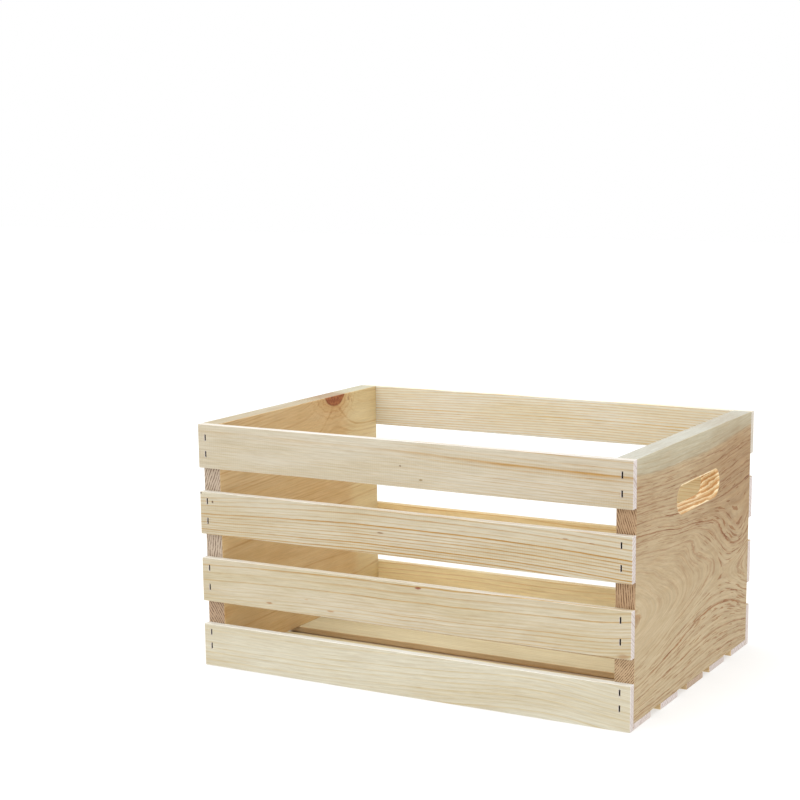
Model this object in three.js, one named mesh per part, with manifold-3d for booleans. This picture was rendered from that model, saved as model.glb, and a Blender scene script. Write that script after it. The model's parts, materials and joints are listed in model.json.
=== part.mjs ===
// Wooden apple crate: two solid end panels with hand slots, four slats on each
// long side, five slats under the floor, all held with narrow-crown staples.
//
// Frame: millimetres, +Z up. X runs along the length, Y along the width.
// The origin is the centre of the footprint, on the plane the crate stands on.

import * as THREE from 'three';
import { mergeVertices } from 'three/addons/utils/BufferGeometryUtils.js';
import Module from 'manifold-3d';

const wasm = await Module();
wasm.setup();

// ---------------------------------------------------------------- dimensions
const LENGTH = 457.2;            // over the slat ends (18 in)
const WIDTH = 317.5;             // over the side slats (12 1/2 in)
const HEIGHT = 244.0;            // floor plane to rim

const PANEL_THICKNESS = 19.05;   // solid end boards (3/4 in)
const SIDE_SLAT_THICKNESS = 7.9375;   // 5/16 in
const FLOOR_SLAT_THICKNESS = 6.35;    // 1/4 in
const ARRIS = 0.5;               // eased edge along every board
const FLOOR_SIDE_GAP = 0.3;      // outer floor slats to side slats

// Side slats, bottom edge and top edge, from the rim down.
const SIDE_SLATS = [
  { name: 'top', z0: 200.6, z1: HEIGHT },
  { name: 'upper', z0: 134.5, z1: 177.0 },
  { name: 'lower', z0: 66.4, z1: 110.5 },
  { name: 'bottom', z0: 0, z1: 42.9 },
];

const INNER_HALF_WIDTH = WIDTH / 2 - SIDE_SLAT_THICKNESS;

// Floor slats, front edge and back edge at mid-length, from the front to the back.
// `skew` is how far the left end sits behind the right end, in a slat nailed askew.
const FLOOR_SLATS = [
  { name: 'front', y0: -INNER_HALF_WIDTH + FLOOR_SIDE_GAP, y1: -109.6 },
  { name: 'front_middle', y0: -82.8, y1: -39.4, skew: 5.6 },
  { name: 'middle', y0: -17.2, y1: 26.8, skew: 2.6 },
  { name: 'back_middle', y0: 43.8, y1: 86.0 },
  { name: 'back', y0: 106.9, y1: INNER_HALF_WIDTH - FLOOR_SIDE_GAP },
];
const FLOOR_SLAT_CORNER = 2.5;   // rounded plan corners of the floor slats
const slatShift = (slat, x) => -(slat.skew || 0) * x / LENGTH;

// Hand slot in each end panel: a straight slot with full round ends.
const SLOT_LENGTH = 109.0;
const SLOT_HEIGHT = 23.6;
const SLOT_CENTRE_Y = 3.0;
const SLOT_CENTRE_Z = 188.7;
const SLOT_END_SEGMENTS = 14;

// Narrow-crown staples.
const CROWN_WIDTH = 6.0;
const WIRE_THICKNESS = 1.05;     // along the leg, seen from the side
const WIRE_WIDTH = 1.25;         // across the crown
const LEG_LENGTH = 22.0;         // crown face to leg tip
const CROWN_SINK = 0.35;         // crown face below the wood
const STAPLE_CLEARANCE = 0.15;   // wood to wire, all round

// Height of the two staples at each end of a side slat.
const STAPLE_X_LEFT = -220.4;
const STAPLE_X_RIGHT = 218.1;
const SIDE_STAPLES = {
  top: { left: [230.8, 214.6], right: [230.4, 213.8] },
  upper: { left: [167.6, 147.8], right: [168.3, 147.9] },
  lower: { left: [100.3, 80.9], right: [101.4, 81.6] },
  bottom: { left: [34.7, 20.7], right: [35.4, 20.8] },
};

// ----------------------------------------------------------------- materials
const mat = (color, roughness, metalness = 0) =>
  new THREE.MeshStandardMaterial({ color, roughness, metalness });
const SLAT_WOOD = mat(0xdccba6, 0.72);
const PANEL_WOOD = mat(0xc8a678, 0.74);
const FLOOR_WOOD = mat(0xd3b98c, 0.76);
const STAPLE_STEEL = mat(0x77736c, 0.42, 0.9);

// ------------------------------------------------------------ solid helpers
function toSolid(geometry, matrix) {
  const g = geometry.clone();
  if (matrix) g.applyMatrix4(matrix);
  g.deleteAttribute('normal');
  if (g.getAttribute('uv')) g.deleteAttribute('uv');
  g.clearGroups();
  const m = mergeVertices(g, 1e-5);
  return new wasm.Manifold(new wasm.Mesh({
    numProp: 3,
    vertProperties: new Float32Array(m.getAttribute('position').array),
    triVerts: new Uint32Array(m.getIndex().array),
  }));
}

function toGeometry(solid) {
  const m = solid.getMesh();
  const positions = new Float32Array((m.vertProperties.length / m.numProp) * 3);
  for (let i = 0; i < positions.length / 3; i++) {
    for (let k = 0; k < 3; k++) positions[i * 3 + k] = m.vertProperties[i * m.numProp + k];
  }
  const g = new THREE.BufferGeometry();
  g.setAttribute('position', new THREE.BufferAttribute(positions, 3));
  g.setIndex(new THREE.BufferAttribute(new Uint32Array(m.triVerts), 1));
  g.computeVertexNormals();
  return g;
}

// A rectangle with its four corners cut by `c`, centred on the origin.
function easedRectangle(w, h, c) {
  const s = new THREE.Shape();
  s.moveTo(-w / 2 + c, -h / 2);
  s.lineTo(w / 2 - c, -h / 2);
  s.lineTo(w / 2, -h / 2 + c);
  s.lineTo(w / 2, h / 2 - c);
  s.lineTo(w / 2 - c, h / 2);
  s.lineTo(-w / 2 + c, h / 2);
  s.lineTo(-w / 2, h / 2 - c);
  s.lineTo(-w / 2, -h / 2 + c);
  s.closePath();
  return s;
}

// A board whose eased section (y by z) runs along X.
function boardAlongX(length, depth, height) {
  const g = new THREE.ExtrudeGeometry(easedRectangle(depth, height, ARRIS),
    { depth: length, bevelEnabled: false, steps: 1 });
  g.translate(0, 0, -length / 2);
  // section x -> Y, section y -> Z, extrusion z -> X
  g.applyMatrix4(new THREE.Matrix4().set(
    0, 0, 1, 0,
    1, 0, 0, 0,
    0, 1, 0, 0,
    0, 0, 0, 1));
  return g;
}

// A floor slat: plan outline with rounded corners, extruded upward.
function floorSlat(length, width, thickness, skew) {
  const r = FLOOR_SLAT_CORNER;
  const s = new THREE.Shape();
  const a = length / 2;
  const b = width / 2;
  s.moveTo(-a + r, -b);
  s.lineTo(a - r, -b);
  s.absarc(a - r, -b + r, r, -Math.PI / 2, 0, false);
  s.lineTo(a, b - r);
  s.absarc(a - r, b - r, r, 0, Math.PI / 2, false);
  s.lineTo(-a + r, b);
  s.absarc(-a + r, b - r, r, Math.PI / 2, Math.PI, false);
  s.lineTo(-a, -b + r);
  s.absarc(-a + r, -b + r, r, Math.PI, Math.PI * 1.5, false);
  const g = new THREE.ExtrudeGeometry(s,
    { depth: thickness, bevelEnabled: false, steps: 1, curveSegments: 3 });
  // Shear in plan: y -= skew * x / length
  g.applyMatrix4(new THREE.Matrix4().set(
    1, 0, 0, 0,
    -skew / length, 1, 0, 0,
    0, 0, 1, 0,
    0, 0, 0, 1));
  return g;
}

// A staple in its own frame: the crown lies along X, the legs point to -Y,
// the crown face is at y = 0 and the wire is centred on z = 0.
// `grow` thickens it all round and `lift` raises the crown face.
function stapleShape(grow, lift, round) {
  const w = CROWN_WIDTH / 2 + grow;
  const iw = CROWN_WIDTH / 2 - WIRE_THICKNESS - grow;
  const top = lift;
  const under = -WIRE_THICKNESS - grow;
  const tip = -LEG_LENGTH - grow;
  const s = new THREE.Shape();
  s.moveTo(-w, tip);
  s.lineTo(-iw, tip);
  s.lineTo(-iw, under);
  s.lineTo(iw, under);
  s.lineTo(iw, tip);
  s.lineTo(w, tip);
  s.lineTo(w, top - round);
  if (round > 0) s.lineTo(w - round, top);
  s.lineTo(-w + round, top);
  if (round > 0) s.lineTo(-w, top - round);
  s.closePath();
  const d = WIRE_WIDTH + 2 * grow;
  const g = new THREE.ExtrudeGeometry(s, { depth: d, bevelEnabled: false, steps: 1 });
  g.translate(0, 0, -d / 2);
  return g;
}
const STAPLE = toGeometry(toSolid(stapleShape(0, 0, 0.3)));
const STAPLE_CUTTER = stapleShape(STAPLE_CLEARANCE, CROWN_SINK + 2, 0);

// Rotations that turn the staple frame so that the legs enter the wood.
const ROT = {
  // crown along Z, legs towards +Y
  front: new THREE.Matrix4().makeBasis(
    new THREE.Vector3(0, 0, 1), new THREE.Vector3(0, -1, 0), new THREE.Vector3(1, 0, 0)),
  // crown along Z, legs towards -Y
  back: new THREE.Matrix4().makeBasis(
    new THREE.Vector3(0, 0, 1), new THREE.Vector3(0, 1, 0), new THREE.Vector3(-1, 0, 0)),
  // crown along Y, legs towards +Z
  floor: new THREE.Matrix4().makeBasis(
    new THREE.Vector3(0, 1, 0), new THREE.Vector3(0, 0, -1), new THREE.Vector3(-1, 0, 0)),
};

const staples = [];   // { name, side, position, panel, board }
for (const side of ['front', 'back']) {
  const y = side === 'front' ? -WIDTH / 2 + CROWN_SINK : WIDTH / 2 - CROWN_SINK;
  for (const slat of SIDE_SLATS) {
    for (const end of ['left', 'right']) {
      const x = end === 'left' ? STAPLE_X_LEFT : STAPLE_X_RIGHT;
      SIDE_STAPLES[slat.name][end].forEach((z, i) => {
        staples.push({
          name: `staple_${side}_${slat.name}_${end}_${i + 1}`,
          side, position: new THREE.Vector3(x, y, z),
          panel: end, board: `${side}_${slat.name}`,
        });
      });
    }
  }
}
for (const slat of FLOOR_SLATS) {
  for (const end of ['left', 'right']) {
    const x = end === 'left' ? STAPLE_X_LEFT : STAPLE_X_RIGHT;
    staples.push({
      name: `staple_floor_${slat.name}_${end}`,
      side: 'floor',
      position: new THREE.Vector3(x, (slat.y0 + slat.y1) / 2 + slatShift(slat, x), CROWN_SINK),
      panel: end, board: `floor_${slat.name}`,
    });
  }
}

// Cuts the staple pockets that `filter` picks out of a board whose own frame
// sits at `origin`.
function cutStaples(solid, origin, filter) {
  let out = solid;
  for (const s of staples.filter(filter)) {
    const m = new THREE.Matrix4().makeTranslation(
      s.position.x - origin.x, s.position.y - origin.y, s.position.z - origin.z)
      .multiply(ROT[s.side]);
    out = out.subtract(toSolid(STAPLE_CUTTER, m));
  }
  return out;
}

// -------------------------------------------------------------------- model
const crate = new THREE.Group();
crate.name = 'apple_crate';

function place(parent, name, geometry, material, position, rotation) {
  const mesh = new THREE.Mesh(geometry, material);
  mesh.name = name;
  mesh.position.copy(position);
  if (rotation) mesh.quaternion.setFromRotationMatrix(rotation);
  parent.add(mesh);
  return mesh;
}

// End panels: one wide board each, grain across the crate.
const panelHeight = HEIGHT - FLOOR_SLAT_THICKNESS;
function endPanel(origin, end) {
  const section = easedRectangle(PANEL_THICKNESS, panelHeight, ARRIS);
  const g = new THREE.ExtrudeGeometry(section,
    { depth: 2 * INNER_HALF_WIDTH, bevelEnabled: false, steps: 1 });
  g.translate(0, 0, -INNER_HALF_WIDTH);
  // section x -> X, section y -> Z, extrusion z -> -Y
  g.applyMatrix4(new THREE.Matrix4().set(
    1, 0, 0, 0,
    0, 0, -1, 0,
    0, 1, 0, 0,
    0, 0, 0, 1));
  const r = SLOT_HEIGHT / 2;
  const a = SLOT_LENGTH / 2 - r;
  const slot = new THREE.Shape();
  slot.moveTo(-a, -r);
  slot.lineTo(a, -r);
  slot.absarc(a, 0, r, -Math.PI / 2, Math.PI / 2, false);
  slot.lineTo(-a, r);
  slot.absarc(-a, 0, r, Math.PI / 2, Math.PI * 1.5, false);
  const depth = PANEL_THICKNESS + 4;
  const cut = new THREE.ExtrudeGeometry(slot,
    { depth, bevelEnabled: false, steps: 1, curveSegments: SLOT_END_SEGMENTS });
  cut.translate(0, 0, -depth / 2);
  // slot x -> Y, slot y -> Z, extrusion z -> X
  cut.applyMatrix4(new THREE.Matrix4().set(
    0, 0, 1, 0,
    1, 0, 0, SLOT_CENTRE_Y - origin.y,
    0, 1, 0, SLOT_CENTRE_Z - origin.z,
    0, 0, 0, 1));
  const solid = toSolid(g).subtract(toSolid(cut));
  return toGeometry(cutStaples(solid, origin, (s) => s.panel === end));
}

const ends = new THREE.Group();
for (const end of ['left', 'right']) {
  const x = (LENGTH / 2 - PANEL_THICKNESS / 2) * (end === 'left' ? -1 : 1);
  const origin = new THREE.Vector3(x, 0, FLOOR_SLAT_THICKNESS + panelHeight / 2);
  place(ends, `end_panel_${end}`, endPanel(origin, end), PANEL_WOOD, origin);
}
crate.add(ends);

// Side slats.
for (const side of ['front', 'back']) {
  const group = new THREE.Group();
  const y = (WIDTH / 2 - SIDE_SLAT_THICKNESS / 2) * (side === 'front' ? -1 : 1);
  for (const slat of SIDE_SLATS) {
    const h = slat.z1 - slat.z0;
    const origin = new THREE.Vector3(0, y, (slat.z0 + slat.z1) / 2);
    const solid = toSolid(boardAlongX(LENGTH, SIDE_SLAT_THICKNESS, h));
    const geometry = toGeometry(cutStaples(solid, origin,
      (s) => s.board === `${side}_${slat.name}`));
    place(group, `${side}_slat_${slat.name}`, geometry, SLAT_WOOD, origin);
  }
  crate.add(group);
}

// Floor slats.
const floor = new THREE.Group();
for (const slat of FLOOR_SLATS) {
  const w = slat.y1 - slat.y0;
  const origin = new THREE.Vector3(0, (slat.y0 + slat.y1) / 2, 0);
  const solid = toSolid(floorSlat(LENGTH, w, FLOOR_SLAT_THICKNESS, slat.skew || 0));
  const geometry = toGeometry(cutStaples(solid, origin,
    (s) => s.board === `floor_${slat.name}`));
  place(floor, `floor_slat_${slat.name}`, geometry, FLOOR_WOOD, origin);
}
crate.add(floor);

// Staples.
const fasteners = new THREE.Group();
for (const s of staples) {
  place(fasteners, s.name, STAPLE.clone(), STAPLE_STEEL, s.position, ROT[s.side]);
}
crate.add(fasteners);

export default crate;
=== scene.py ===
"""A wooden apple crate: planed softwood boards, narrow-crown staples, plain pale studio."""
import json
import math
import bpy
import bmesh
import numpy as np
from mathutils import Matrix, Vector, noise

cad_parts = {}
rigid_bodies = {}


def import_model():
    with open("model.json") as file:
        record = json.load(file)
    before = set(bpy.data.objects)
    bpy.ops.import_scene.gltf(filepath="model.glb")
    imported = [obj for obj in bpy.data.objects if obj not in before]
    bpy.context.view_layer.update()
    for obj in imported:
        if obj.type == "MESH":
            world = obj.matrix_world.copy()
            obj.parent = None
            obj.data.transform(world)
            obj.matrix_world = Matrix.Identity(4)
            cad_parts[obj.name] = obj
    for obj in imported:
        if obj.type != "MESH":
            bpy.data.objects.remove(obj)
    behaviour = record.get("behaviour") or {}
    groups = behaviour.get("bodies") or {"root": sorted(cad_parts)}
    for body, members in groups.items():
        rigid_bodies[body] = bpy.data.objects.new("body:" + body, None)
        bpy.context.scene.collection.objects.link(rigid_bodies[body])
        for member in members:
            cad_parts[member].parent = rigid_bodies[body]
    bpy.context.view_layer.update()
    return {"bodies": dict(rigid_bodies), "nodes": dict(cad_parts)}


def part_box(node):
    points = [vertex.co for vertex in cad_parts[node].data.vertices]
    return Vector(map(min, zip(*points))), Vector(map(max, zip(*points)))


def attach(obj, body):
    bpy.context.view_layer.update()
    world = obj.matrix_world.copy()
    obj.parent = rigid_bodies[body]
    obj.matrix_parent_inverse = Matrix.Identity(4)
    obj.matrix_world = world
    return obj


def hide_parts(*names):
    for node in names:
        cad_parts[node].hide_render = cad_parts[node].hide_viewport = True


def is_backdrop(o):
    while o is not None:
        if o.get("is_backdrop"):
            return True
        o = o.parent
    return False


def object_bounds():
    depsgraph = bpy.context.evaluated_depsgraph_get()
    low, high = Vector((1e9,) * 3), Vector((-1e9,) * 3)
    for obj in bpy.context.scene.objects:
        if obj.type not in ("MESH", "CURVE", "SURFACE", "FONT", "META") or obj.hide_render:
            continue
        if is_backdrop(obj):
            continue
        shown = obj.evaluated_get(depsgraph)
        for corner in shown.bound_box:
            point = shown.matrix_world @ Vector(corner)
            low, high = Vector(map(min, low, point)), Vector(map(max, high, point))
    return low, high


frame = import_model()
MM = 0.001

# ------------------------------------------------------------------ camera
# Matches the fitted view: right, up and back axes of the camera in the row frame.
RIGHT = Vector((0.878820, 0.477094, -0.007497))
DOWN = Vector((0.086252, -0.174293, -0.980909))
FORWARD = Vector((-0.469293, 0.861396, -0.194322))
CAM_AT = Vector((0.790599, -1.536503, 0.512632))
FOCAL_PX, PRINCIPAL = 1760.8, (440.0, 490.0)
cam_data = bpy.data.cameras.new("camera")
cam = bpy.data.objects.new("camera", cam_data)
bpy.context.scene.collection.objects.link(cam)
cam.matrix_world = Matrix((
    (RIGHT.x, -DOWN.x, -FORWARD.x, CAM_AT.x),
    (RIGHT.y, -DOWN.y, -FORWARD.y, CAM_AT.y),
    (RIGHT.z, -DOWN.z, -FORWARD.z, CAM_AT.z),
    (0, 0, 0, 1)))
cam_data.sensor_width = 36.0
cam_data.lens = FOCAL_PX / 800.0 * 36.0
cam_data.shift_x = (400.0 - PRINCIPAL[0]) / 800.0
cam_data.shift_y = (PRINCIPAL[1] - 400.0) / 800.0
cam_data.clip_start = 0.05
cam_data.clip_end = 60.0
bpy.context.scene.camera = cam

# ------------------------------------------------------------- small helpers
def lin(r, g, b):
    """sRGB 0-255 to linear."""
    out = []
    for c in (r, g, b):
        c = c / 255.0
        out.append(c / 12.92 if c <= 0.04045 else ((c + 0.055) / 1.055) ** 2.4)
    return tuple(out)


def smooth_interp(table, x):
    """Smooth one-dimensional curve through (position, value) pairs."""
    xs = np.array([p[0] for p in table], float)
    ys = np.array([p[1] for p in table], float)
    x = np.clip(np.asarray(x, float), xs[0], xs[-1])
    m = np.gradient(ys, xs)
    i = np.clip(np.searchsorted(xs, x, side="right") - 1, 0, len(xs) - 2)
    h = xs[i + 1] - xs[i]
    t = (x - xs[i]) / h
    return ((1 + 2 * t) * (1 - t) ** 2 * ys[i] + t * (1 - t) ** 2 * h * m[i]
            + t * t * (3 - 2 * t) * ys[i + 1] + t * t * (t - 1) * h * m[i + 1])


def wobble(seed, s, scale):
    """Smooth repeatable noise along one direction, about -1 to 1."""
    s = np.atleast_1d(np.asarray(s, float))
    flat = np.array([noise.noise(Vector((seed * 7.31, v / scale, seed * 3.17))) for v in s.ravel()])
    return (flat * 1.6).reshape(s.shape)


# ----------------------------------------------------------- board geometry
def spaced(lo, hi, radius, step, k=3):
    """Lattice stations from lo to hi with extra ones inside the rounded edges."""
    q = [radius * math.tan(math.radians(45.0 * j / k)) for j in range(k + 1)]   # 0 .. radius
    a, b = lo + radius, hi - radius
    low = [a - v for v in reversed(q)]
    high = [b + v for v in q]
    n = max(1, int(round((b - a) / step)))
    mid = [a + (b - a) * j / n for j in range(1, n)]
    return np.array(low + mid + high)


def box_shell(xs, ys, zs):
    """Closed quad shell over a box lattice."""
    nx, ny, nz = len(xs), len(ys), len(zs)
    index, verts, faces = {}, [], []

    def vid(i, j, k):
        key = (i, j, k)
        if key not in index:
            index[key] = len(verts)
            verts.append((xs[i], ys[j], zs[k]))
        return index[key]
    for i in range(nx - 1):
        for j in range(ny - 1):
            faces.append((vid(i, j, 0), vid(i, j + 1, 0), vid(i + 1, j + 1, 0), vid(i + 1, j, 0)))
            faces.append((vid(i, j, nz - 1), vid(i + 1, j, nz - 1), vid(i + 1, j + 1, nz - 1), vid(i, j + 1, nz - 1)))
    for i in range(nx - 1):
        for k in range(nz - 1):
            faces.append((vid(i, 0, k), vid(i + 1, 0, k), vid(i + 1, 0, k + 1), vid(i, 0, k + 1)))
            faces.append((vid(i, ny - 1, k), vid(i, ny - 1, k + 1), vid(i + 1, ny - 1, k + 1), vid(i + 1, ny - 1, k)))
    for j in range(ny - 1):
        for k in range(nz - 1):
            faces.append((vid(0, j, k), vid(0, j, k + 1), vid(0, j + 1, k + 1), vid(0, j + 1, k)))
            faces.append((vid(nx - 1, j, k), vid(nx - 1, j + 1, k), vid(nx - 1, j + 1, k + 1), vid(nx - 1, j, k + 1)))
    return np.array(verts), faces


def rounded_box(lo, hi, radius, steps):
    """Box with rounded edges in millimetres, as verts, faces and how far round an edge each vertex is."""
    lo, hi = np.array(lo, float), np.array(hi, float)
    v, f = box_shell(*[spaced(lo[i], hi[i], radius, steps[i]) for i in range(3)])
    inner = np.clip(v, lo + radius, hi - radius)
    d = v - inner
    length = np.linalg.norm(d, axis=1)
    out = inner + d / length[:, None] * radius
    edge = np.clip((np.sum(np.abs(d) > radius * 0.02, axis=1) - 1) / 1.0, 0, 1)
    return out, f, edge


def new_object(name, verts_mm, faces):
    mesh = bpy.data.meshes.new(name)
    mesh.from_pydata([tuple(c * MM for c in v) for v in verts_mm], [], faces)
    mesh.update()
    obj = bpy.data.objects.new(name, mesh)
    bpy.context.scene.collection.objects.link(obj)
    return obj


def apply_modifier(obj, modifier):
    bpy.context.view_layer.objects.active = obj
    for o in bpy.context.selected_objects:
        o.select_set(False)
    obj.select_set(True)
    bpy.ops.object.modifier_apply(modifier=modifier.name)


def cut(obj, cutter):
    m = obj.modifiers.new("cut", "BOOLEAN")
    m.operation = "DIFFERENCE"
    m.solver = "EXACT"
    m.object = cutter
    apply_modifier(obj, m)
    mesh = cutter.data
    bpy.data.objects.remove(cutter)
    bpy.data.meshes.remove(mesh)


def co_mm(obj):
    a = np.zeros(len(obj.data.vertices) * 3)
    obj.data.vertices.foreach_get("co", a)
    return a.reshape(-1, 3) / MM


def set_float(obj, name, values):
    att = obj.data.attributes.new(name, "FLOAT", "POINT")
    att.data.foreach_set("value", np.asarray(values, np.float32))


def set_vector(obj, name, values):
    att = obj.data.attributes.new(name, "FLOAT_VECTOR", "POINT")
    att.data.foreach_set("vector", np.asarray(values, np.float32).ravel())


# ---------------------------------------------------------------- materials
class Graph:
    """Short-hand for building a node tree."""

    def __init__(self, name):
        self.mat = bpy.data.materials.new(name)
        self.mat.use_nodes = True
        self.t = self.mat.node_tree
        self.t.nodes.clear()

    def node(self, kind, **props):
        n = self.t.nodes.new(kind)
        for k, v in props.items():
            setattr(n, k, v)
        return n

    def put(self, socket, value):
        if value is None:
            return
        if hasattr(value, "links"):
            self.t.links.new(value, socket)
        else:
            if hasattr(socket.default_value, "__len__") and len(socket.default_value) == 4 and len(value) == 3:
                value = (*value, 1.0)
            socket.default_value = value

    def math(self, op, a, b=None, c=None, clamp=False):
        n = self.node("ShaderNodeMath", operation=op, use_clamp=clamp)
        self.put(n.inputs[0], a)
        if b is not None:
            self.put(n.inputs[1], b)
        if c is not None:
            self.put(n.inputs[2], c)
        return n.outputs[0]

    def vmath(self, op, a, b=None, scale=None):
        n = self.node("ShaderNodeVectorMath", operation=op)
        self.put(n.inputs[0], a)
        if b is not None:
            self.put(n.inputs[1], b)
        if scale is not None:
            self.put(n.inputs["Scale"], scale)
        return n.outputs["Value"] if op in ("LENGTH", "DOT_PRODUCT", "DISTANCE") else n.outputs[0]

    def step(self, x, lo, hi, to_lo=0.0, to_hi=1.0, kind="SMOOTHSTEP"):
        n = self.node("ShaderNodeMapRange", interpolation_type=kind, clamp=True)
        self.put(n.inputs["Value"], x)
        self.put(n.inputs["From Min"], lo)
        self.put(n.inputs["From Max"], hi)
        self.put(n.inputs["To Min"], to_lo)
        self.put(n.inputs["To Max"], to_hi)
        return n.outputs["Result"]

    def noise(self, vec, scale=(1, 1, 1), detail=2.0, rough=0.5, offset=(0, 0, 0), distortion=0.0):
        v = self.vmath("MULTIPLY", vec, scale)
        if any(offset):
            v = self.vmath("ADD", v, offset)
        n = self.node("ShaderNodeTexNoise", noise_dimensions="3D")
        self.put(n.inputs["Vector"], v)
        n.inputs["Scale"].default_value = 1.0
        n.inputs["Detail"].default_value = detail
        n.inputs["Roughness"].default_value = rough
        n.inputs["Distortion"].default_value = distortion
        return n.outputs[0]

    def mix(self, fac, a, b, mode="MIX"):
        n = self.node("ShaderNodeMix", data_type="RGBA", blend_type=mode, clamp_factor=True)
        self.put(n.inputs[0], fac)
        self.put(n.inputs[6], a)
        self.put(n.inputs[7], b)
        return n.outputs[2]

    def attribute(self, name):
        return self.node("ShaderNodeAttribute", attribute_type="GEOMETRY", attribute_name=name)


def ring_curve(g, value, rings, lo, hi):
    """Darkness of the growth rings against the ring coordinate, from a table of
    (position, strength, width) late-wood lines: a slow rise and a sharp end."""
    n = g.node("ShaderNodeFloatCurve")
    x = g.math("DIVIDE", g.math("SUBTRACT", value, lo), hi - lo, clamp=True)
    g.put(n.inputs["Value"], x)
    grid = np.linspace(lo, hi, 257)
    dark = np.zeros_like(grid)
    for pos, strength, width in rings:
        d = grid - pos
        rise = np.where(d <= 0, np.clip(1 + d / (width * 1.7), 0, 1) ** 1.6, 0)
        fall = np.where(d > 0, np.clip(1 - d / (width * 0.55), 0, 1), 0)
        dark = np.maximum(dark, strength * (rise + fall))
    # keep only the corners of the profile
    keep = [0]
    for i in range(1, 256):
        if abs(dark[i] - (dark[keep[-1]] + (dark[min(i + 1, 256)] - dark[keep[-1]])
                          * (i - keep[-1]) / (i + 1 - keep[-1]))) > 0.012:
            keep.append(i)
    keep.append(256)
    curve = n.mapping.curves[0]
    n.mapping.use_clip = True
    pts = [(i / 256.0, float(dark[i])) for i in keep]
    curve.points[0].location = pts[0]
    curve.points[1].location = pts[-1]
    for p in pts[1:-1]:
        curve.points.new(*p)
    for p in curve.points:
        p.handle_type = "VECTOR"
    n.mapping.update()
    return n.outputs[0]


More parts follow.
